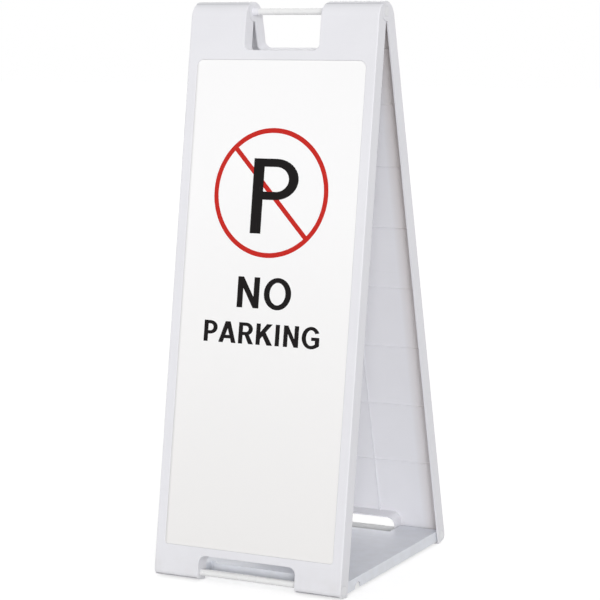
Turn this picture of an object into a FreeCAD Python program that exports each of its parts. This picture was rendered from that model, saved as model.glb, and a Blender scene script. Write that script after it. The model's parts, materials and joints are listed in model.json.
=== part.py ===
import FreeCAD, Part
import math
import os

# Folding floor sign: two hollow moulded leaves lean together on one hinge pipe, which is also
# the carrying handle. A base plate hangs on the rear leaf's foot pipe and lies on the front one.
# Units are millimetres. The origin is on the floor below the hinge, +X is the sign's right seen
# from the front, -Y is the front and +Z is up. Each leaf is drawn in its own frame: x across,
# y inward from its outer face, z up along the leaf from its foot end.

# Stance
leaf_reach = 1200.0          # foot end to hinge axis, along the leaf
half_angle = 10.65           # lean of each leaf from upright, degrees
meeting_gap = 0.6            # between the two leaves when they are folded flat

# Leaf moulding
leaf_width = 444.0
leaf_depth = 33.5
skin = 3.0                   # outer faces and the walls round the notches
flange = 3.5                 # the two long side walls
web = 2.5                    # wall behind the display board
edge_bevel = 1.8             # outer long edges
foot_corner = 12.0           # outer lower corner of each foot
rim_bevel = 0.8              # edges round the recess and the notches

# Display recess and board
recess_low = 68.3
recess_high = 1094.3
recess_inset = 21.9          # from the leaf's side
recess_depth = 4.0
recess_corner_high = 16.0
recess_corner_low = 6.0
board_setback = 1.0          # board face below the frame face
board_gap = 0.3              # all round the board

# Notches
handle_notch_half = 89.0
handle_notch_low = 1114.8
handle_notch_corner = 14.0
crown_end_radius = 6.0       # crown's ends beside the handle notch
foot_notch_half = 115.0
foot_notch_high = 51.2
foot_notch_corner = 16.0

# Ribs on the inner face of the web
rib_height = 2.5
rib_width = 1.6
cross_rib_low = 180.0
cross_rib_pitch = 136.0
cross_rib_count = 7
long_rib_x = 70.0
long_rib_high = 453.0

# Pipes and their end caps
pipe_radius = 7.0
pipe_wall = 1.5
bore_clearance = 0.05
cap_radius = 10.5
cap_seat_clearance = 0.5
cap_seat_depth = 1.5
cap_rim = 1.6
cap_stem_length = 12.0
cap_fin = 2.0                # the stem's crossed fins
stem_clearance = 0.1
pipe_end_gap = 0.3
foot_pipe_high = 15.0        # above the foot end
foot_pipe_in = 17.0          # in from the outer face

# Hinge at the top
crown_front_radius = 34.0
crown_rear_radius = 36.0
crown_drop = 15.0            # crown centre below the hinge axis
seam_angle = 43.0            # seam in front of upright, on the open sign, degrees
ear_radius = 15.6
ear_width = 3.5
ear_side_gap = 0.8           # between an ear and the barrel end beside it
band_clearance = 0.6         # ear to band, and more between band and front crown
band_thickness = 2.5
band_reach = 78.0            # hidden band's end in front of upright, degrees
band_root = 30.0             # where the band leaves the rear crown, degrees
barrel_radius = 20.5
barrel_clearance = 0.7
barrel_overlap = 0.3         # outer barrel end into the flange's inside
barrel_end = 3.7
boss_radius = 8.5
boss_length = 13.5
gusset_width = 4.0
gusset_drop = 60.0
neck_gap = 0.7               # ear's neck below the level of the axis

# Base plate, its front parts measured back from the front foot pipe's axis
base_side_gap = 2.5          # to the flanges
base_skin = 3.2
base_wall = 3.0
base_rest_gap = 0.3          # above the front foot pipe
base_drop = 13.0             # lower edge below the rear pipe's axis
base_tip_back = 3.5          # tips that lie over the front foot pipe
base_front_back = 27.5       # front end of the side portions
base_middle_back = 38.5
base_middle_half = 108.0
base_slot_back = 50.5
base_slot_wide = 3.0         # clear of the foot notch's walls
base_rear_swing = 54.0       # the middle's rear end, in front of the rear pipe
base_ramp = 14.0             # run of the ramp from the lower edge to the knuckle
base_knuckle_gap = 0.8
base_cross_ribs = 1
base_rib_width = 2.4
base_edge_radius = 1.5
arch_back = 73.5
arch_radius = 12.0
arch_high = 13.2             # above the lower edge

# Worked out from the sizes above
lean = math.radians(half_angle)
half_width = leaf_width / 2
axis_depth = leaf_depth + meeting_gap / 2
axis_height = leaf_reach * math.cos(lean) - meeting_gap / 2 * math.sin(lean)
recess_half = half_width - recess_inset
web_depth = recess_depth + web
rib_depth = web_depth + rib_height
flange_inside = half_width - flange
bore_radius = pipe_radius + bore_clearance
cap_seat_x = half_width - cap_seat_depth
band_inner = ear_radius + band_clearance
band_outer = band_inner + band_thickness
front_clear = band_outer + barrel_clearance
notch_ear_start = handle_notch_half + barrel_end + ear_side_gap
gusset_start = flange_inside - gusset_width - neck_gap
crown_top = leaf_reach - crown_drop + crown_rear_radius
barrel_outer_start = flange_inside - barrel_overlap
pipe_out = axis_depth - foot_pipe_in
pipe_down = leaf_reach - foot_pipe_high
pivot_y = pipe_out * math.cos(lean) + pipe_down * math.sin(lean)
pivot_z = axis_height + pipe_out * math.sin(lean) - pipe_down * math.cos(lean)
base_low = pivot_z - base_drop
base_top = pivot_z + pipe_radius + base_rest_gap + base_skin
base_side = flange_inside - base_side_gap
base_front = pivot_y - base_front_back
base_inner_wall = foot_notch_half + skin + base_slot_wide
base_rear_middle = pivot_y - base_rear_swing
far = 60.0                   # past every face that a cut runs through

os.makedirs("parts", exist_ok=True)


def point(x, y, z):
    return FreeCAD.Vector(x, y, z)


def block(x_range, y_range, z_range):
    size = [span[1] - span[0] for span in (x_range, y_range, z_range)]
    return Part.makeBox(size[0], size[1], size[2], point(x_range[0], y_range[0], z_range[0]))


def two_sided(shape):
    """The shape and its mirror image across the middle."""
    return [shape, shape.mirror(point(0, 0, 0), point(1, 0, 0))]


def side_blocks(x_range, y_range, z_range):
    return two_sided(block(x_range, y_range, z_range))


def rod(radius, x_range, y, z):
    return Part.makeCylinder(radius, x_range[1] - x_range[0], point(x_range[0], y, z), point(1, 0, 0))


def side_rods(radius, x_range, y, z):
    return two_sided(rod(radius, x_range, y, z))


def extrude_outline(edges, x_range):
    """A closed outline drawn at x = 0, made solid between two x positions."""
    face = Part.Face(Part.Wire(edges))
    solid = face.extrude(point(x_range[1] - x_range[0], 0, 0))
    solid.translate(point(x_range[0], 0, 0))
    return solid


def line(start, end):
    return Part.makeLine(point(0, *start), point(0, *end))


def arc(start, middle, end):
    return Part.Arc(point(0, *start), point(0, *middle), point(0, *end)).toShape()


def rounded_panel(half, z_range, y_range, low_corner, high_corner):
    """A panel across the leaf with its own corner radius below and above."""
    panel = block((-half, half), y_range, z_range)
    for corner, level in ((low_corner, z_range[0]), (high_corner, z_range[1])):
        if corner > 0:
            edges = [e for e in panel.Edges
                     if abs(e.BoundBox.ZMin - level) < 1e-6 and abs(e.BoundBox.ZMax - level) < 1e-6
                     and e.BoundBox.XLength < 1e-6]
            panel = panel.makeFillet(corner, edges)
    return panel


def on_crown(crown_radius, offset, angle):
    """Where a ray from the hinge meets the crown, at an angle from upright towards the inside."""
    across = math.sin(math.radians(angle))
    up = math.cos(math.radians(angle))
    from_centre = (leaf_depth - crown_radius, crown_drop)
    along = from_centre[0] * across + from_centre[1] * up
    rest = from_centre[0] ** 2 + from_centre[1] ** 2 - (crown_radius - offset) ** 2
    distance = -along + math.sqrt(along ** 2 - rest)
    return (leaf_depth + distance * across, leaf_reach + distance * up)


def crown_arc(crown_radius, offset, end):
    centre = (crown_radius, leaf_reach - crown_drop)
    radius = crown_radius - offset
    end_angle = math.atan2(end[1] - centre[1], end[0] - centre[0])
    middle_angle = (math.pi + end_angle) / 2
    middle = (centre[0] + radius * math.cos(middle_angle), centre[1] + radius * math.sin(middle_angle))
    return arc((offset, centre[1]), middle, end)


def leaf_outline(crown_radius, seam):
    """Outer outline: foot, outer face, crown, seam face and inner side."""
    crown_start = (0, leaf_reach - crown_drop)
    crown_end = on_crown(crown_radius, 0, seam)
    hinge = (leaf_depth, leaf_reach)
    inside = foot_corner * (1 - math.cos(math.pi / 4))
    return [line((leaf_depth, 0), (foot_corner, 0)),
            arc((foot_corner, 0), (inside, inside), (0, foot_corner)),
            line((0, foot_corner), crown_start),
            crown_arc(crown_radius, 0, crown_end),
            line(crown_end, hinge),
            line(hinge, (leaf_depth, 0))]


def hollow_outline(crown_radius, seam):
    """The hollow inside the skin, run out past the seam and the inner side."""
    overrun = 4.0
    crown_end = on_crown(crown_radius, skin, seam + overrun)
    inner = max(crown_end[0], leaf_depth) + overrun
    return [line((inner, skin), (skin, skin)),
            line((skin, skin), (skin, leaf_reach - crown_drop)),
            crown_arc(crown_radius, skin, crown_end),
            line(crown_end, (inner, crown_end[1])),
            line((inner, crown_end[1]), (inner, skin))]


def handle_notch(grow):
    return rounded_panel(handle_notch_half + grow, (handle_notch_low - grow, leaf_reach + far),
                         (-far, leaf_depth + far), handle_notch_corner + grow, 0)


def foot_notch(grow):
    return rounded_panel(foot_notch_half + grow, (-far, foot_notch_high + grow),
                         (-far, leaf_depth + far), 0, foot_notch_corner + grow)


def web_ribs():
    depth = (0, rib_depth)
    ribs = []
    for number in range(cross_rib_count):
        level = cross_rib_low + number * cross_rib_pitch
        ribs.append(block((-half_width, half_width), depth, (level - rib_width / 2, level + rib_width / 2)))
    ribs += side_blocks((long_rib_x - rib_width / 2, long_rib_x + rib_width / 2), depth,
                        (foot_notch_high, long_rib_high))
    return ribs


def hinge_plate(start, width):
    """A full-depth plate under the hinge, one on each side."""
    return side_blocks((start, start + width), (0, leaf_depth), (leaf_reach - gusset_drop, leaf_reach + far))


def crown_end_cuts():
    """What is cut off to round the crown's ends beside the handle notch."""
    reach = (handle_notch_half, handle_notch_half + crown_end_radius)
    level = crown_top - crown_end_radius
    corner = block(reach, (-far, leaf_depth + far), (level, crown_top + far))
    length = leaf_depth + 2 * far
    rounding = Part.makeCylinder(crown_end_radius, length, point(reach[1], -far, level), point(0, 1, 0))
    return two_sided(corner.cut(rounding))


def moulding(crown_radius, seam, plates):
    """The leaf as moulded, before its hinge is cut: skin, flanges, web, notch walls and ribs."""
    outer = extrude_outline(leaf_outline(crown_radius, seam), (-half_width, half_width))
    long_edges = [e for e in outer.Edges if e.BoundBox.XLength < 1e-6
                  and e.BoundBox.YMax < leaf_depth - 1e-3 and e.BoundBox.ZMax > 1]
    outer = outer.makeChamfer(edge_bevel, long_edges)
    hollow = extrude_outline(hollow_outline(crown_radius, seam), (-flange_inside, flange_inside))
    back = block((-half_width, half_width), (0, web_depth), (recess_low - skin, handle_notch_low))
    kept = [back, handle_notch(skin), foot_notch(skin)] + web_ribs() + plates
    leaf = outer.cut(hollow.cut(kept))
    recess = rounded_panel(recess_half, (recess_low, recess_high), (-far, recess_depth),
                           recess_corner_low, recess_corner_high)
    leaf = leaf.cut([recess, handle_notch(0), foot_notch(0)])
    rims = [e for e in leaf.Edges if e.BoundBox.YMax < 1e-6 and e.BoundBox.YMin > -1e-6
            and e.BoundBox.XMin > -half_width + edge_bevel + 1e-3
            and e.BoundBox.XMax < half_width - edge_bevel - 1e-3]
    return leaf.makeChamfer(rim_bevel, rims)


def pipe_seats(y, z):
    """Bore right through the leaf and a seat for the cap in each side."""
    seats = side_rods(cap_radius + cap_seat_clearance, (cap_seat_x, half_width + far), y, z)
    return [rod(bore_radius, (-half_width - far, half_width + far), y, z)] + seats


def front_ears():
    """Ears round the hinge pipe: beside the handle notch and beside the flanges."""
    ears = []
    neck_y = (axis_depth - front_clear - neck_gap, leaf_depth)
    neck_z = (leaf_reach - front_clear - neck_gap, leaf_reach - neck_gap)
    for start, width in ((notch_ear_start, ear_width), (gusset_start, gusset_width)):
        reach = (start, start + width)
        ears += side_rods(ear_radius, reach, axis_depth, leaf_reach)
        ears += side_blocks(reach, neck_y, neck_z)
    return ears


def make_front_leaf():
    plates = hinge_plate(gusset_start, gusset_width + neck_gap) + hinge_plate(notch_ear_start, ear_width)
    leaf = moulding(crown_front_radius, -(seam_angle + half_angle), plates)
    clear = [rod(front_clear, (-half_width - far, half_width + far), axis_depth, leaf_reach)]
    for reach in ((barrel_outer_start - barrel_clearance / 2, half_width + far),
                  (handle_notch_half, notch_ear_start - ear_side_gap / 2)):
        clear += side_rods(barrel_radius + barrel_clearance, reach, axis_depth, leaf_reach)
    leaf = leaf.cut(clear).fuse(front_ears())
    cuts = [rod(bore_radius, (-half_width, half_width), axis_depth, leaf_reach)]
    return leaf.cut(cuts + crown_end_cuts() + pipe_seats(foot_pipe_in, foot_pipe_high)).removeSplitter()


def band_sector(inner, outer, start, end, x_range):
    """Part of a ring round the hinge, between two angles in front of upright on the open sign."""
    first = math.radians(start - half_angle)
    last = math.radians(end - half_angle)

    def at(radius, angle):
        return (axis_depth + radius * math.sin(angle), leaf_reach + radius * math.cos(angle))

    middle = (first + last) / 2
    edges = [line(at(inner, first), at(outer, first)),
             arc(at(outer, first), at(outer, middle), at(outer, last)),
             line(at(outer, last), at(inner, last)),
             arc(at(inner, last), at(inner, middle), at(inner, first))]
    return two_sided(extrude_outline(edges, x_range))


def make_rear_leaf():
    seam = seam_angle - half_angle
    leaf = moulding(crown_rear_radius, seam, [])
    notch_end = (handle_notch_half, handle_notch_half + barrel_end)
    boss = (handle_notch_half - boss_length, handle_notch_half)
    ends = side_rods(barrel_radius, notch_end, axis_depth, leaf_reach)
    ends += side_rods(barrel_radius, (barrel_outer_start, half_width), axis_depth, leaf_reach)
    ends += side_rods(boss_radius, boss, axis_depth, leaf_reach)
    crown_reach = on_crown(crown_rear_radius, skin / 2, seam)
    root_outer = math.hypot(crown_reach[0] - axis_depth, crown_reach[1] - leaf_reach)
    reach = (handle_notch_half, half_width)
    band = band_sector(band_inner, band_outer, band_root, band_reach, reach)
    root = band_sector(band_inner, root_outer, band_root, seam_angle - 1, reach)
    leaf = leaf.fuse(ends + band + root)
    cuts = crown_end_cuts() + pipe_seats(axis_depth, leaf_reach) + pipe_seats(foot_pipe_in, foot_pipe_high)
    return leaf.cut(cuts).removeSplitter()


def make_board():
    """Display board that lies on the recess floor."""
    return rounded_panel(recess_half - board_gap, (recess_low + board_gap, recess_high - board_gap),
                         (board_setback, recess_depth), recess_corner_low - board_gap,
                         recess_corner_high - board_gap)


def make_pipe(y, z):
    half = cap_seat_x - pipe_end_gap
    return rod(pipe_radius, (-half, half), y, z).cut(rod(pipe_radius - pipe_wall, (-half, half), y, z))


def make_cap(y, z):
    """End cap on the +X side: a stem of crossed fins in the pipe and a low flat head in the leaf's side."""
    fin = cap_fin / 2
    tip = math.sqrt((pipe_radius - pipe_wall - stem_clearance) ** 2 - fin ** 2)
    reach = (cap_seat_x - cap_stem_length, cap_seat_x)
    fins = [block(reach, (-tip, tip), (-fin, fin)), block(reach, (-fin, fin), (-tip, tip))]
    cap = rod(cap_radius, (cap_seat_x, cap_seat_x + cap_rim), 0, 0).fuse(fins).removeSplitter()
    cap.translate(point(0, y, z))
    return cap


def stand_front(shape):
    """Leaf frame to its place on the open sign, at the front."""
    placed = shape.copy()
    placed.translate(point(0, -axis_depth, -leaf_reach))
    placed.rotate(point(0, 0, 0), point(1, 0, 0), -half_angle)
    placed.translate(point(0, 0, axis_height))
    return placed


def stand_rear(shape):
    placed = stand_front(shape)
    placed.rotate(point(0, 0, 0), point(0, 0, 1), 180)
    return placed


def base_outline():
    """The base plate's side: flat top, round knuckle on the rear pipe, ramp and lower edge."""
    knuckle = base_top - pivot_z
    return [line((-base_front, base_low), (-base_front, base_top)),
            line((-base_front, base_top), (pivot_y, base_top)),
            arc((pivot_y, base_top), (pivot_y + knuckle, pivot_z), (pivot_y, pivot_z - knuckle)),
            line((pivot_y, pivot_z - knuckle), (pivot_y - base_ramp, base_low)),
            line((pivot_y - base_ramp, base_low), (-base_front, base_low))]


def base_bays():
    """Hollows under the top skin, left open below, with ribs between them."""
    rear = base_rear_middle - base_wall
    height = (base_low - far, base_top - base_skin)
    columns = []
    for sign in (-1, 1):
        middle = sorted((sign * base_rib_width / 2, sign * (base_middle_half - base_wall)))
        columns.append((middle, base_middle_back - pivot_y + base_wall, rear))
        slot = sorted((sign * base_middle_half, sign * base_inner_wall))
        columns.append((slot, base_slot_back - pivot_y + base_wall, rear))
        arm = sorted((sign * (base_inner_wall + base_wall), sign * (base_side - base_wall)))
        columns.append((arm, -base_front + base_wall, pivot_y))
    bays = []
    for span, front, back in columns:
        pitch = (back - front + base_rib_width) / (base_cross_ribs + 1)
        for number in range(base_cross_ribs + 1):
            start = front + number * pitch
            bays.append(block(span, (start, start + pitch - base_rib_width), height))
    return bays


def base_arches():
    """The small arch cut in each long side's lower edge."""
    reach = (base_side - base_wall - base_edge_radius, base_side + far)
    middle = arch_back - pivot_y
    level = base_low + arch_high - arch_radius
    below = side_blocks(reach, (middle - arch_radius, middle + arch_radius), (base_low - far, level))
    return side_rods(arch_radius, reach, middle, level) + below


def make_base_plate():
    height = (base_low - far, base_top + far)
    front = -base_front - far
    across = block((-base_side, base_side), (-base_front, pivot_y + far), (base_low - far, base_top))
    long_edges = [e for e in across.Edges
                  if e.BoundBox.YLength > base_front and e.BoundBox.ZMin > base_top - 1e-3]
    across = across.makeFillet(base_edge_radius, long_edges)
    plate = extrude_outline(base_outline(), (-base_side, base_side)).common(across)
    knuckle_reach = (base_inner_wall + base_wall, base_side - base_wall)
    cuts = base_bays() + base_arches()
    cuts.append(block((-base_middle_half, base_middle_half), (front, base_middle_back - pivot_y), height))
    cuts.append(block((-base_inner_wall, base_inner_wall), (base_rear_middle, pivot_y + far), height))
    cuts += side_blocks((base_middle_half, base_inner_wall), (front, base_slot_back - pivot_y), height)
    cuts += side_rods(pipe_radius + base_knuckle_gap, knuckle_reach, pivot_y, pivot_z)
    cuts.append(rod(bore_radius, (-base_side - far, base_side + far), pivot_y, pivot_z))
    tips = side_blocks((base_inner_wall, base_side - base_wall),
                       (base_tip_back - pivot_y, -base_front + base_wall), (base_top - base_skin, base_top))
    return plate.cut(cuts).fuse(tips).removeSplitter()


def mirrored(shape):
    return shape.mirror(point(0, 0, 0), point(1, 0, 0))


def make_parts():
    foot_cap = make_cap(foot_pipe_in, foot_pipe_high)
    top_cap = make_cap(0, axis_height)
    foot_pipe = make_pipe(foot_pipe_in, foot_pipe_high)
    board = make_board()
    return {"front_leaf": stand_front(make_front_leaf()),
            "rear_leaf": stand_rear(make_rear_leaf()),
            "front_display_board": stand_front(board),
            "rear_display_board": stand_rear(board),
            "base_plate": make_base_plate(),
            "handle_pipe": make_pipe(0, axis_height),
            "front_foot_pipe": stand_front(foot_pipe),
            "rear_foot_pipe": stand_rear(foot_pipe),
            "handle_cap_right": top_cap,
            "handle_cap_left": mirrored(top_cap),
            "front_foot_cap_right": stand_front(foot_cap),
            "front_foot_cap_left": stand_front(mirrored(foot_cap)),
            "rear_foot_cap_right": stand_rear(mirrored(foot_cap)),
            "rear_foot_cap_left": stand_rear(foot_cap)}


for name, shape in make_parts().items():
    shape.exportStep("parts/" + name + ".step")
    box = shape.BoundBox
    print(f"{name:24s} solids {len(shape.Solids)} valid {shape.isValid()} volume {shape.Volume / 1000:8.1f} cm3"
          f"  x {box.XMin:7.1f} {box.XMax:7.1f}  y {box.YMin:7.1f} {box.YMax:7.1f}"
          f"  z {box.ZMin:7.1f} {box.ZMax:7.1f}")
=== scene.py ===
import json
import math

import bmesh
import bpy
from mathutils import Matrix, Vector


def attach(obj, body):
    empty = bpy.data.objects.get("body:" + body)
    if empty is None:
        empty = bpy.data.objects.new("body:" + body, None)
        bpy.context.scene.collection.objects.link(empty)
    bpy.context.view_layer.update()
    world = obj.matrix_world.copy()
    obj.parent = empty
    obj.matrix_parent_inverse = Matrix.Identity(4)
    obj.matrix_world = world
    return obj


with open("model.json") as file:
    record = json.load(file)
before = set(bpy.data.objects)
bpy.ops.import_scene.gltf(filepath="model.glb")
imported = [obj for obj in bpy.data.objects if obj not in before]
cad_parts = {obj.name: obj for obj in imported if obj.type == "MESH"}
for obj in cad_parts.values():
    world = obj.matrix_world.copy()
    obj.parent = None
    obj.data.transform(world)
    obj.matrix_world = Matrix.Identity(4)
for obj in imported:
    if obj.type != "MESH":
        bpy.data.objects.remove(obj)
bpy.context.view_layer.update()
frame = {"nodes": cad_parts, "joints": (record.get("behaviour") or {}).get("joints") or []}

# Folding floor sign of white moulded plastic: the finish of each piece, the print on the front
# display board, the floor, the light and the camera. Units are metres, in the frame's own axes.

# The front display face. A leaf is measured from its outer side in and from its foot end up.
LEAN = math.radians(10.65)
LEAF_REACH = 1.200              # foot end to hinge
HINGE_DEPTH = 0.0338
BOARD_DEPTH = 0.001
BOARD_HALF = 0.1998             # half the board's width

# The crown's seam at rest, a line along X: y and z
SEAM_DEPTH = -0.01555
SEAM_HEIGHT = 1.19594

# The print, measured on the face: across from its middle, up from the leaf's foot end
FILM = 0.00015                  # printed film above the face
FILM_SUNK = 0.00005             # and below it, so that no two faces lie in one plane
LETTER_FILM = 0.0003            # the letter lies over the slash
RING_ACROSS = -0.0020
RING_UP = 0.8176
RING_RADIUS = 0.1300            # to the middle of the stroke
RING_STROKE = 0.0103
RING_STEPS = 160
SLASH_ANGLE = math.radians(-45.7)
SLASH_STEPS = 6                 # of each end's arc, to either side of its middle
LETTER_BOX = (-0.0455, 0.0620, 0.7322, 0.8888)      # left, right, low, high
UPPER_WORD_BOX = (-0.0652, 0.0625, 0.5766, 0.6412)
LOWER_WORD_BOX = (-0.1395, 0.1350, 0.5013, 0.5458)

# Points of a flat drawing nearer than this are one, and a point at a smaller bend than this goes
SAME_POINT = 1e-6
SLIGHT_BEND = math.radians(0.2)

# Letters, for a height of 1
LARGE_STEM = 0.162
UPPER_STEM = 0.207
LOWER_STEM = 0.225
BAR = 0.158
OVERSHOOT = 0.018               # of round letters past the line
STRAIGHT_SIDE = 0.108           # room left beside a straight side, a round one and a slanted one
ROUND_SIDE = 0.060
SLANTED_SIDE = 0.020
ROUND_SHARE = 0.62              # how far the round end of a bowl reaches, for a bowl's height of 1
ARC_BOTTOM = -90                # degrees along an arc, from its right end
ARC_TOP = 90
LEG_MEETS = -62                 # where R's leg leaves the bowl
ARC_STEPS = 20                  # for half a turn

# Colours, linear
WHITE_FRAME = (0.795, 0.793, 0.828)
WHITE_BOARD = (0.945, 0.942, 0.945)
# painted shade: the board's colour lower down, darker and a little warmer
BOARD_PAINTED_SHADE = (0.850, 0.838, 0.830)
WHITE_BASE = (0.785, 0.805, 0.860)
WHITE_PIPE = (0.84, 0.84, 0.84)
WHITE_CAP = (0.80, 0.80, 0.82)
INK_RED = (0.555, 0.022, 0.016)
INK_RED_WORN = (0.66, 0.12, 0.10)
INK_BLACK = (0.0075, 0.0058, 0.0062)
INK_BLACK_WORN = (0.05, 0.047, 0.047)
DUST = (0.52, 0.50, 0.46)
# painted shade along the crown's seam
SEAM_PAINTED_SHADE = (0.30, 0.31, 0.34)
# painted shade along the board's left edge, where the recess wall shades it
BOARD_EDGE_PAINTED_SHADE = (0.42, 0.41, 0.42)
# painted shade cast by a leaf's side walls on its hollow side, with a warm stain
CORNER_SHADE_AND_STAIN = (0.36, 0.23, 0.13)

# Wear and painted shade: the heights or distances between which each fades, and its share where it is
# strongest
DUST_HEIGHTS = (0.0, 0.09)
DUST_SHARE = 0.18
DUST_NOISE = (0.38, 0.66)       # the noise's values that
DUST_PATCHES = (0.15, 0.9)      # make it this thin and this thick
# heights between which the board's painted shade fades in
BOARD_SHADE_HEIGHTS = (0.05, 0.80)
SCUFF_SHARE = 0.10
SCUFF_ROUGHNESS = 0.08          # added where a scuff is full
# the seam's painted shade: a narrow line and a wider soft band, with their shares
SEAM_LINE = (0.0006, 0.0018)
SEAM_LINE_SHARE = 0.22
SEAM_SHADE_SPREAD = (0.0, 0.014)
SEAM_SHADE_SPREAD_SHARE = 0.15
# the board's left-edge painted shade: its distances from the edge and its share
BOARD_EDGE_SHADE = (0.0008, 0.0052)
BOARD_EDGE_SHADE_SHARE = 0.42
# the hollow corners' painted shade and stain
SHADE_AND_STAIN_BEGINS = (0.172, 0.200)   # across from the leaf's middle, where it comes up
SHADE_AND_STAIN_ENDS = (0.208, 0.214)     # and where it goes, short of the rims
SHADE_AND_STAIN_HEIGHTS = (0.2, 0.9)
SHADE_AND_STAIN_SHARES = (0.24, 0.33)     # at those heights

# Ranges of values
MOST = (0.35, 0.65)             # most values of a noise
NEARLY_ALL = (0.3, 0.7)         # and nearly all of them
RISE = (0, 1)
FALL = (1, 0)

# Light. The ways towards the lamps are x, y and z, and their softness is in degrees.
HORIZON_LEVEL = 0.73
ZENITH_LEVEL = 0.54
KEY_LEVEL = 1.69
KEY_TOWARDS = (0.55, -0.835, 0.16)
KEY_SOFTNESS = 25
BACK_LEVEL = 1.00
BACK_TOWARDS = (-0.4, 1.0, 0.03)
BACK_SOFTNESS = 50

# Floor
FLOOR_HALF = 14.0
FLOOR_ALBEDO = 0.60
FLOOR_GLOW = 0.62

# Camera. Its angles are in radians, and its lens and sensor in millimetres.
CAMERA_PLACE = Vector((2.23274, -4.07885, 1.32349))
CAMERA_YAW = 0.49974
CAMERA_PITCH = -0.1609
CAMERA_ROLL = -0.02137
CAMERA_LENS = 132.54
CAMERA_SENSOR = 36.0


class Graph:
    """A short way to write a material's nodes. Each piece's own origin is the frame's, so a place and a
    direction in a piece's own coordinates are those in the frame at rest."""

    def __init__(self, name):
        self.material = bpy.data.materials.new(name)
        self.material.use_nodes = True
        self.nodes = self.material.node_tree.nodes
        self.links = self.material.node_tree.links
        self.shader = self.nodes["Principled BSDF"]
        coordinates = self.add("ShaderNodeTexCoord")
        self.place = coordinates.outputs["Object"]
        self.facing = coordinates.outputs["Normal"]

    def add(self, kind, **settings):
        node = self.nodes.new(kind)
        for name, value in settings.items():
            setattr(node, name, value)
        return node

    def put(self, socket, value):
        if isinstance(value, bpy.types.NodeSocket):
            self.links.new(value, socket)
        else:
            socket.default_value = value

    def noise(self, scale, detail=2.0, stretch=(1, 1, 1), roughness=0.5):
        mapping = self.add("ShaderNodeMapping")
        self.put(mapping.inputs["Vector"], self.place)
        self.put(mapping.inputs["Scale"], stretch)
        node = self.add("ShaderNodeTexNoise")
        self.put(node.inputs["Vector"], mapping.outputs["Vector"])
        self.put(node.inputs["Scale"], scale)
        self.put(node.inputs["Detail"], detail)
        self.put(node.inputs["Roughness"], roughness)
        return node.outputs["Fac"]

    def span(self, value, source, target, smooth=False):
        """A value carried from one range to another, and held at its ends."""
        node = self.add("ShaderNodeMapRange")
        if smooth:
            node.interpolation_type = "SMOOTHSTEP"
        self.put(node.inputs["Value"], value)
        for socket, number in zip(("From Min", "From Max", "To Min", "To Max"), (*source, *target)):
            self.put(node.inputs[socket], number)
        return node.outputs["Result"]

    def math(self, operation, first, second=0.0):
        node = self.add("ShaderNodeMath", operation=operation)
        self.put(node.inputs[0], first)
        self.put(node.inputs[1], second)
        return node.outputs["Value"]

    def blend(self, share, first, second):
        node = self.add("ShaderNodeMix", data_type="RGBA")
        self.put(node.inputs["Factor"], share)
        sockets = [socket for socket in node.inputs if socket.type == "RGBA"]
        for socket, colour in zip(sockets, (first, second)):
            self.put(socket, colour if isinstance(colour, bpy.types.NodeSocket) else (*colour, 1))
        return next(socket for socket in node.outputs if socket.type == "RGBA")

    def mottled(self, colour, noise, darkest, lightest, values=MOST):
        """A colour that a noise makes a little darker and lighter."""
        share = self.span(noise, values, RISE)
        return self.blend(share, shaded(colour, darkest), shaded(colour, lightest))

    def patches(self, noise, begin, full):
        """0 where a noise is lower than the one value, and 1 where it is higher than the other."""
        return self.span(noise, (begin, full), RISE)

    def covered(self, base, where, share, colour):
        """A base with a share of another colour over it, where a value from 0 to 1 lets it."""
        return self.blend(self.math("MULTIPLY", where, share), base, colour)

    def varied(self, noise, smoothest, roughest):
        """A roughness that a noise varies."""
        return self.span(noise, NEARLY_ALL, (smoothest, roughest))

    def bump(self, height, distance, strength, below=None):
        node = self.add("ShaderNodeBump")
        self.put(node.inputs["Height"], height)
        self.put(node.inputs["Distance"], distance)
        self.put(node.inputs["Strength"], strength)
        if below is not None:
            self.put(node.inputs["Normal"], below)
        return node.outputs["Normal"]

    def axes(self, vector):
        """The sockets of a vector's X, Y and Z."""
        node = self.add("ShaderNodeSeparateXYZ")
        self.put(node.inputs["Vector"], vector)
        return node.outputs

    def distance(self, depth, height):
        """Distance at rest from a line along X."""
        shifted = self.add("ShaderNodeVectorMath", operation="MULTIPLY_ADD")
        self.put(shifted.inputs[0], self.place)
        self.put(shifted.inputs[1], (0, 1, 1))
        self.put(shifted.inputs[2], (0, -depth, -height))
        length = self.add("ShaderNodeVectorMath", operation="LENGTH")
        self.put(length.inputs[0], shifted.outputs["Vector"])
        return length.outputs["Value"]

    def surface(self, colour, roughness, normal, ior, specular=0.5):
        """The finished material."""
        self.put(self.shader.inputs["Base Color"], colour)
        self.put(self.shader.inputs["Roughness"], roughness)
        self.put(self.shader.inputs["Normal"], normal)
        self.put(self.shader.inputs["IOR"], ior)
        self.put(self.shader.inputs["Specular IOR Level"], specular)
        return self.material


def shaded(colour, factor):
    return tuple(channel * factor for channel in colour)


def seam_shade_share(graph):
    """The share of painted shade along the crown's seam, where the gap between the crowns lies in shadow:
    a line in a wider soft band.
    """
    away = graph.distance(SEAM_DEPTH, SEAM_HEIGHT)
    line = graph.span(away, SEAM_LINE, (SEAM_LINE_SHARE, 0))
    spread = graph.span(away, SEAM_SHADE_SPREAD, (SEAM_SHADE_SPREAD_SHARE, 0))
    return graph.math("ADD", line, spread)


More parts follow.
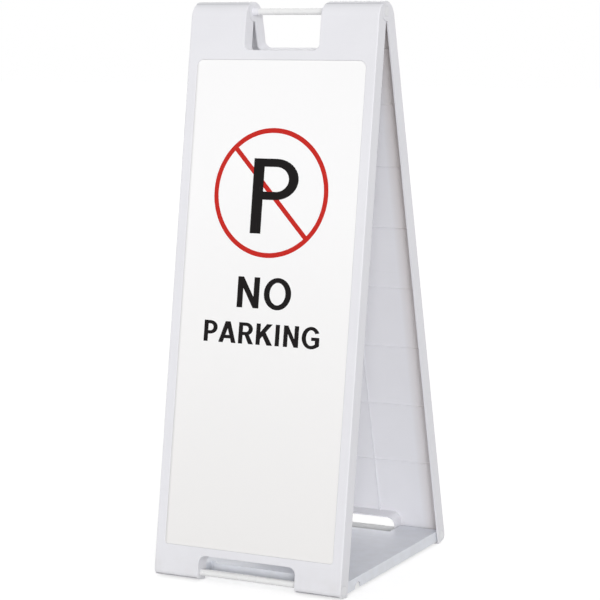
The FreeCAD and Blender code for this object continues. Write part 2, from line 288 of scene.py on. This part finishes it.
def corner_shade_and_stain_share(graph):
    """The share of painted shade, cast by the side walls, together with a warm stain, where a leaf's
    hollow side meets its side walls, short of the rims.
    """
    across, depth, height = graph.axes(graph.place)
    outward = graph.math("MULTIPLY", graph.axes(graph.facing)["Y"], depth)
    inward = graph.math("LESS_THAN", outward, 0.0)
    sideways = graph.math("ABSOLUTE", across)
    rising = graph.span(sideways, SHADE_AND_STAIN_BEGINS, RISE)
    falling = graph.span(sideways, SHADE_AND_STAIN_ENDS, FALL)
    strip = graph.math("MULTIPLY", rising, falling)
    share = graph.span(height, SHADE_AND_STAIN_HEIGHTS, SHADE_AND_STAIN_SHARES)
    return graph.math("MULTIPLY", graph.math("MULTIPLY", inward, strip), share)


def moulded_plastic(name, colour, is_leaf):
    """Satin moulded plastic: fine grain, faint flow mottling, light scuffs and dust near the floor."""
    graph = Graph(name)
    base = graph.mottled(colour, graph.noise(scale=7.0, detail=3.0), darkest=0.985, lightest=1.012)
    low = graph.span(graph.axes(graph.place)["Z"], DUST_HEIGHTS, FALL, smooth=True)
    thickness = graph.span(graph.noise(scale=38.0, detail=4.0), DUST_NOISE, DUST_PATCHES)
    base = graph.covered(base, graph.math("MULTIPLY", low, thickness), DUST_SHARE, DUST)
    # On a leaf: painted shade along the crown's seam, and painted shade with a warm stain in the hollow
    # corners
    if is_leaf:
        base = graph.blend(seam_shade_share(graph), base, SEAM_PAINTED_SHADE)
        base = graph.blend(corner_shade_and_stain_share(graph), base, CORNER_SHADE_AND_STAIN)
    streaks = graph.noise(scale=26.0, detail=5.0, stretch=(0.5, 0.5, 6.0), roughness=0.62)
    scuffs = graph.patches(streaks, begin=0.60, full=0.72)
    base = graph.covered(base, scuffs, SCUFF_SHARE, shaded(colour, 0.86))
    satin = graph.varied(graph.noise(scale=90.0, detail=3.0), smoothest=0.40, roughest=0.50)
    roughness = graph.math("ADD", satin, graph.math("MULTIPLY", scuffs, SCUFF_ROUGHNESS))
    grain = graph.bump(graph.noise(scale=1500.0), distance=0.00004, strength=0.55)
    waves = graph.bump(graph.noise(scale=14.0), distance=0.0006, strength=0.35, below=grain)
    return graph.surface(base, roughness, waves, ior=1.50, specular=0.42)


def sheet_plastic(name, colour):
    """Smooth extruded sheet: faint orange peel, painted shade that makes it darker and a little warmer
    lower down, and a line of painted shade along its left edge.
    """
    graph = Graph(name)
    base = graph.mottled(colour, graph.noise(scale=4.0), darkest=0.992, lightest=1.004)
    across, _, height = graph.axes(graph.place)
    # painted shade: the board darker and a little warmer lower down
    base = graph.blend(graph.span(height, BOARD_SHADE_HEIGHTS, FALL), base, BOARD_PAINTED_SHADE)
    from_edge = graph.math("ADD", across, BOARD_HALF)
    # painted shade in a line along the board's left edge
    base = graph.blend(graph.span(from_edge, BOARD_EDGE_SHADE, (BOARD_EDGE_SHADE_SHARE, 0)), base, BOARD_EDGE_PAINTED_SHADE)
    roughness = graph.varied(graph.noise(scale=60.0, detail=3.0), smoothest=0.30, roughest=0.38)
    peel = graph.bump(graph.noise(scale=260.0), distance=0.00006, strength=0.4)
    return graph.surface(base, roughness, peel, ior=1.49, specular=0.45)


def drawn_pipe(name, colour):
    """Drawn plastic pipe: fine lines along its length and worn, duller patches."""
    graph = Graph(name)
    lines = graph.noise(scale=900.0, stretch=(0.01, 1, 1))
    worn = graph.patches(graph.noise(scale=30.0, detail=4.0), begin=0.48, full=0.68)
    base = graph.mottled(colour, lines, darkest=0.98, lightest=1.01, values=NEARLY_ALL)
    base = graph.covered(base, worn, share=0.25, colour=shaded(colour, 0.93))
    roughness = graph.span(worn, RISE, (0.26, 0.40))
    grooves = graph.bump(lines, distance=0.00005, strength=0.5)
    return graph.surface(base, roughness, grooves, ior=1.50)


def moulded_cap(name, colour):
    """Small glossy moulding: faint mottling and fine grain."""
    graph = Graph(name)
    base = graph.mottled(colour, graph.noise(scale=120.0, detail=3.0), darkest=0.96, lightest=1.01)
    roughness = graph.varied(graph.noise(scale=300.0), smoothest=0.30, roughest=0.42)
    grain = graph.bump(graph.noise(scale=1100.0), distance=0.00004, strength=0.5)
    return graph.surface(base, roughness, grain, ior=1.50)


def ink(name, colour, worn):
    """Printed film: even colour, faint mottling and a few paler rub marks."""
    graph = Graph(name)
    base = graph.mottled(colour, graph.noise(scale=420.0), darkest=0.93, lightest=1.07, values=NEARLY_ALL)
    streaks = graph.noise(scale=45.0, detail=5.0, stretch=(5, 1, 1), roughness=0.6)
    base = graph.covered(base, graph.patches(streaks, begin=0.60, full=0.74), share=0.20, colour=worn)
    roughness = graph.varied(graph.noise(scale=160.0, detail=3.0), smoothest=0.34, roughest=0.44)
    grain = graph.bump(graph.noise(scale=700.0), distance=0.00003, strength=0.4)
    return graph.surface(base, roughness, grain, ior=1.48, specular=0.12)


def dress_nodes():
    """Each CAD node gets the finish that its name calls for."""
    finishes = {"leaf": moulded_plastic("leaf_moulding", WHITE_FRAME, is_leaf=True),
                "board": sheet_plastic("display_sheet", WHITE_BOARD),
                "base": moulded_plastic("base_moulding", WHITE_BASE, is_leaf=False),
                "pipe": drawn_pipe("pipe_plastic", WHITE_PIPE),
                "cap": moulded_cap("cap_plastic", WHITE_CAP)}
    for name, node in frame["nodes"].items():
        kind = next(word for word in finishes if word in name.split("_"))
        node.data.materials.clear()
        node.data.materials.append(finishes[kind])


def display_face():
    """The turn from the front display face, across it, up it and out of it, to the frame, and where the
    face's middle and the leaf's foot end meet."""
    hinge_height = next(joint for joint in frame["joints"] if joint["name"] == "leaf_fold")["pos_m"][2]
    cos, sin = math.cos(LEAN), math.sin(LEAN)
    inward = BOARD_DEPTH - HINGE_DEPTH
    start = Vector((0, inward * cos - LEAF_REACH * sin, hinge_height - inward * sin - LEAF_REACH * cos))
    across = Vector((1, 0, 0))
    up = Vector((0, sin, cos))
    out = across.cross(up)
    return Matrix((across, up, out)).transposed().to_4x4(), start


def add_film(name, mesh, thickness, material):
    """A flat drawing on the face, given its film's thickness, as a piece that rides the front leaf."""
    film = bmesh.new()
    film.from_mesh(mesh)
    bmesh.ops.remove_doubles(film, verts=film.verts, dist=SAME_POINT)
    bmesh.ops.dissolve_limit(film, angle_limit=SLIGHT_BEND, verts=film.verts, edges=film.edges)
    bmesh.ops.recalc_face_normals(film, faces=film.faces)
    if film.faces[0].normal.z < 0:
        bmesh.ops.reverse_faces(film, faces=film.faces)
    bmesh.ops.translate(film, verts=film.verts, vec=(0, 0, -FILM_SUNK))
    top = bmesh.ops.extrude_face_region(film, geom=film.faces[:], use_keep_orig=True)
    raised = [item for item in top["geom"] if isinstance(item, bmesh.types.BMVert)]
    bmesh.ops.translate(film, verts=raised, vec=(0, 0, FILM_SUNK + thickness))
    bmesh.ops.recalc_face_normals(film, faces=film.faces)
    bmesh.ops.triangulate(film, faces=film.faces)
    turn, start = display_face()
    bmesh.ops.transform(film, matrix=Matrix.Translation(start) @ turn, verts=film.verts)
    made = bpy.data.meshes.new(name)
    film.to_mesh(made)
    film.free()
    piece = bpy.data.objects.new(name, made)
    bpy.context.scene.collection.objects.link(piece)
    made.materials.append(material)
    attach(piece, "front_frame")


def polygon_mesh(name, outlines):
    """Quads between pairs of matching points, or one face for a single outline."""
    mesh = bpy.data.meshes.new(name)
    points = [(x, y, 0) for outline in outlines for x, y in outline]
    count = len(outlines[0])
    if len(outlines) == 1:
        faces = [range(count)]
    else:
        faces = [(i, (i + 1) % count, count + (i + 1) % count, count + i) for i in range(count)]
    mesh.from_pydata(points, [], faces)
    return mesh


def ring_circle(radius):
    turns = [2 * math.pi * step / RING_STEPS for step in range(RING_STEPS)]
    return [(RING_ACROSS + radius * math.cos(turn), RING_UP + radius * math.sin(turn)) for turn in turns]


def ring_mesh():
    half = RING_STROKE / 2
    return polygon_mesh("ring", [ring_circle(RING_RADIUS + half), ring_circle(RING_RADIUS - half)])


def slash_mesh():
    """A bar across the ring. Its ends stop at the ring's inner edge."""
    half = RING_STROKE / 2
    reach = RING_RADIUS - half
    swing = math.asin(half / reach)
    corners = []
    for side in (0, math.pi):
        for step in range(-SLASH_STEPS, SLASH_STEPS + 1):
            turn = side + swing * step / SLASH_STEPS
            corners.append((reach * math.cos(turn), reach * math.sin(turn)))
    cos, sin = math.cos(SLASH_ANGLE), math.sin(SLASH_ANGLE)
    turned = [(RING_ACROSS + x * cos - y * sin, RING_UP + x * sin + y * cos) for x, y in corners]
    return polygon_mesh("slash", [turned])


def arc(centre, radii, begin, end):
    """Points along part of an ellipse, between two angles in degrees."""
    x, y = centre
    wide, tall = radii
    steps = max(2, round(abs(end - begin) / 180 * ARC_STEPS))
    turns = [math.radians(begin + (end - begin) * step / steps) for step in range(steps + 1)]
    return [(x + wide * math.cos(turn), y + tall * math.sin(turn)) for turn in turns]


# A letter is its width, its contours, and the room to its left and right

def bowl(width, low, stem, bar, side, leg=()):
    """The stem and bowl of P, and of R with the points of its leg: the outer contour and the hole."""
    high = 1 - low
    straight = width - ROUND_SHARE * high
    centre = (straight, low + high / 2)
    radii = (width - straight, high / 2)
    foot = [(0, 0), (stem, 0), (stem, low)]
    round_end = arc(centre, radii, LEG_MEETS if leg else ARC_BOTTOM, ARC_TOP)
    outer = foot + list(leg) + round_end + [(0, 1)]
    inside = arc(centre, (radii[0] - side, radii[1] - bar), ARC_BOTTOM, ARC_TOP)
    hole = [(stem, low + bar)] + inside + [(stem, 1 - bar)]
    return [outer, hole]


def large_letter(stem):
    """The letter in the ring, lighter in its strokes than the words."""
    width, low, bar, side = 0.686, 0.453, 0.108, 0.145
    return width, bowl(width, low, stem, bar, side), 0, 0


def letter_p(stem):
    width, low = 0.73, 0.36
    return width, bowl(width, low, stem, BAR, stem), STRAIGHT_SIDE, ROUND_SIDE


def letter_r(stem):
    width, bowl_width, low = 0.82, 0.76, 0.40
    leg = [(0.34, 0.41), (0.55, 0), (width, 0)]
    return width, bowl(bowl_width, low, stem, BAR, stem, leg), STRAIGHT_SIDE, SLANTED_SIDE


def letter_a(stem):
    """Two slanted legs, wider along the line than an upright stem, and a bar between two heights."""
    width, apex, bar_low, bar_high = 0.95, 0.27, 0.20, 0.36
    leg = 1.09 * stem
    slope = (width - apex) / 2
    below, above = leg + slope * bar_low, leg + slope * bar_high
    meet = (width / 2 - leg) / slope
    outer = [(0, 0), (leg, 0), (below, bar_low), (width - below, bar_low), (width - leg, 0), (width, 0),
             (width - slope, 1), (slope, 1)]
    hole = [(above, bar_high), (width - above, bar_high), (width / 2, meet)]
    return width, [outer, hole], SLANTED_SIDE, SLANTED_SIDE


def letter_k(stem):
    width, meet_low, meet_high = 0.90, 0.27, 0.60
    leg = [(stem, meet_low), (0.345, 0.42), (0.60, 0), (width, 0)]
    arm = [(0.505, 0.60), (0.865, 1), (0.56, 1), (stem, meet_high)]
    outer = [(0, 0), (stem, 0)] + leg + arm + [(stem, 1), (0, 1)]
    return width, [outer], STRAIGHT_SIDE, SLANTED_SIDE


def letter_i(stem):
    return stem, [[(0, 0), (stem, 0), (stem, 1), (0, 1)]], STRAIGHT_SIDE, STRAIGHT_SIDE


def letter_n(stem):
    """Two stems and a diagonal, drop high where it meets them. One half is the other one turned."""
    width, drop = 0.80, 1.75 * stem
    half = [(0, 0), (stem, 0), (stem, 1 - drop), (width - stem, 0), (width, 0)]
    turned = [(width - x, 1 - y) for x, y in half]
    return width, [half + turned], STRAIGHT_SIDE, STRAIGHT_SIDE


def letter_o(stem):
    width = 0.985
    centre = (width / 2, 0.5)
    radii = (width / 2, 0.5 + OVERSHOOT)
    outer = arc(centre, radii, 0, 360)
    hole = arc(centre, (radii[0] - stem, radii[1] - BAR), 0, 360)
    return width, [outer[:-1], hole[:-1]], ROUND_SIDE, ROUND_SIDE


def letter_g(stem):
    """A ring with an opening. Its lower right end is drawn wider, to meet the upright below the bar."""
    width, bar_left, bar_low, bar_high = 0.93, 0.50, 0.375, 0.53
    outer_start, inner_start = 28, 32
    outer_end, inner_end = 360 - 42.5, 360 - 52.0
    middle, lowest = 0.485, 270
    centre = (middle, 0.5)
    high = 0.5 + OVERSHOOT
    wide = (width - middle) / math.cos(math.radians(outer_end))
    narrow = (width - stem - middle) / math.cos(math.radians(inner_end))
    outer = arc(centre, (middle, high), outer_start, lowest)
    outer += arc(centre, (wide, high), lowest, outer_end)[1:]
    upright = [(width, bar_high), (bar_left, bar_high), (bar_left, bar_low), (width - stem, bar_low)]
    inner = arc(centre, (narrow, high - BAR), inner_end, lowest)
    inner += arc(centre, (middle - stem, high - BAR), lowest, inner_start)[1:]
    return width, [outer + upright + inner], ROUND_SIDE, STRAIGHT_SIDE


def filled_mesh(contours):
    """A flat mesh that fills closed contours, with those inside others left open."""
    curve = bpy.data.curves.new("contours", "CURVE")
    curve.dimensions = "2D"
    curve.fill_mode = "BOTH"
    for contour in contours:
        spline = curve.splines.new("POLY")
        spline.points.add(len(contour) - 1)
        for point, (x, y) in zip(spline.points, contour):
            point.co = (x, y, 0, 1)
        spline.use_cyclic_u = True
    holder = bpy.data.objects.new("contours", curve)
    bpy.context.scene.collection.objects.link(holder)
    bpy.context.view_layer.update()
    mesh = bpy.data.meshes.new_from_object(holder)
    bpy.data.objects.remove(holder)
    return mesh


def word_mesh(letters, stem, box):
    """Letters set side by side in a plain upright alphabet, and fitted to a rectangle on the face."""
    left, right, low, high = box
    placed = []
    reach = 0
    room = 0
    for letter in letters:
        width, contours, before, after = letter(stem)
        reach += room + before if placed else 0
        placed += [[(reach + x, y) for x, y in contour] for contour in contours]
        reach += width
        room = after
    wide, tall = (right - left) / reach, high - low
    return filled_mesh([[(left + x * wide, low + y * tall) for x, y in contour] for contour in placed])


def print_front():
    red = ink("ink_red", INK_RED, INK_RED_WORN)
    black = ink("ink_black", INK_BLACK, INK_BLACK_WORN)
    add_film("print_ring", ring_mesh(), FILM, red)
    add_film("print_slash", slash_mesh(), FILM, red)
    upper = (letter_n, letter_o)
    lower = (letter_p, letter_a, letter_r, letter_k, letter_i, letter_n, letter_g)
    add_film("print_letter", word_mesh((large_letter,), LARGE_STEM, LETTER_BOX), LETTER_FILM, black)
    add_film("print_word_upper", word_mesh(upper, UPPER_STEM, UPPER_WORD_BOX), FILM, black)
    add_film("print_word_lower", word_mesh(lower, LOWER_STEM, LOWER_WORD_BOX), FILM, black)


def add_floor():
    mesh = bpy.data.meshes.new("floor")
    corners = [(x * FLOOR_HALF, y * FLOOR_HALF, 0) for x, y in ((-1, -1), (1, -1), (1, 1), (-1, 1))]
    mesh.from_pydata(corners, [], [range(4)])
    floor = bpy.data.objects.new("floor", mesh)
    bpy.context.scene.collection.objects.link(floor)
    material = bpy.data.materials.new("floor_white")
    material.use_nodes = True
    nodes, links = material.node_tree.nodes, material.node_tree.links
    nodes.clear()
    out = nodes.new("ShaderNodeOutputMaterial")
    both = nodes.new("ShaderNodeAddShader")
    diffuse = nodes.new("ShaderNodeBsdfDiffuse")
    diffuse.inputs["Color"].default_value = (FLOOR_ALBEDO, FLOOR_ALBEDO, FLOOR_ALBEDO, 1)
    glow = nodes.new("ShaderNodeEmission")
    links.new(seen_directly(nodes, links, FLOOR_GLOW), glow.inputs["Strength"])
    links.new(diffuse.outputs[0], both.inputs[0])
    links.new(glow.outputs[0], both.inputs[1])
    links.new(both.outputs[0], out.inputs["Surface"])
    mesh.materials.append(material)


def seen_directly(nodes, links, level):
    """The level for rays from the camera, reflections and rays through glass, and 0 for the rest."""
    path = nodes.new("ShaderNodeLightPath")
    total = path.outputs["Is Camera Ray"]
    for name in ("Is Glossy Ray", "Is Transmission Ray"):
        either = nodes.new("ShaderNodeMath")
        either.operation = "MAXIMUM"
        links.new(total, either.inputs[0])
        links.new(path.outputs[name], either.inputs[1])
        total = either.outputs[0]
    times = nodes.new("ShaderNodeMath")
    times.operation = "MULTIPLY"
    links.new(total, times.inputs[0])
    times.inputs[1].default_value = level
    return times.outputs[0]


def add_world():
    world = bpy.data.worlds.new("studio")
    bpy.context.scene.world = world
    world.use_nodes = True
    nodes, links = world.node_tree.nodes, world.node_tree.links
    background = nodes["Background"]
    background.inputs["Color"].default_value = (1, 1, 1, 1)
    direction = nodes.new("ShaderNodeSeparateXYZ")
    links.new(nodes.new("ShaderNodeTexCoord").outputs["Generated"], direction.inputs[0])
    dome = nodes.new("ShaderNodeMapRange")
    links.new(direction.outputs["Z"], dome.inputs["Value"])
    dome.inputs["To Min"].default_value = HORIZON_LEVEL
    dome.inputs["To Max"].default_value = ZENITH_LEVEL
    brighter = nodes.new("ShaderNodeMath")
    brighter.operation = "MAXIMUM"
    links.new(seen_directly(nodes, links, 1.0), brighter.inputs[0])
    links.new(dome.outputs["Result"], brighter.inputs[1])
    links.new(brighter.outputs[0], background.inputs["Strength"])


def add_sun(name, level, towards, softness):
    """A broad soft lamp whose light comes from the given direction."""
    lamp = bpy.data.lights.new(name, "SUN")
    lamp.energy = level
    lamp.angle = math.radians(softness)
    holder = bpy.data.objects.new(name, lamp)
    holder.rotation_mode = "QUATERNION"
    holder.rotation_quaternion = Vector(towards).to_track_quat("Z", "Y")
    bpy.context.scene.collection.objects.link(holder)


def add_camera():
    yaw, pitch, roll = CAMERA_YAW, CAMERA_PITCH, CAMERA_ROLL
    forward = Vector((-math.sin(yaw) * math.cos(pitch), math.cos(yaw) * math.cos(pitch), math.sin(pitch)))
    right = Vector((math.cos(yaw), math.sin(yaw), 0))
    up = right.cross(forward)
    turned_right = math.cos(roll) * right + math.sin(roll) * up
    turned_up = math.cos(roll) * up - math.sin(roll) * right
    turn = Matrix((turned_right, turned_up, -forward)).transposed().to_4x4()
    data = bpy.data.cameras.new("camera")
    data.lens = CAMERA_LENS
    data.sensor_width = CAMERA_SENSOR
    camera = bpy.data.objects.new("camera", data)
    camera.matrix_world = Matrix.Translation(CAMERA_PLACE) @ turn
    bpy.context.scene.collection.objects.link(camera)
    bpy.context.scene.camera = camera


dress_nodes()
print_front()
add_floor()
add_world()
add_sun("key", KEY_LEVEL, KEY_TOWARDS, KEY_SOFTNESS)
add_sun("back", BACK_LEVEL, BACK_TOWARDS, BACK_SOFTNESS)
add_camera()
bpy.context.scene.view_settings.view_transform = "Standard"
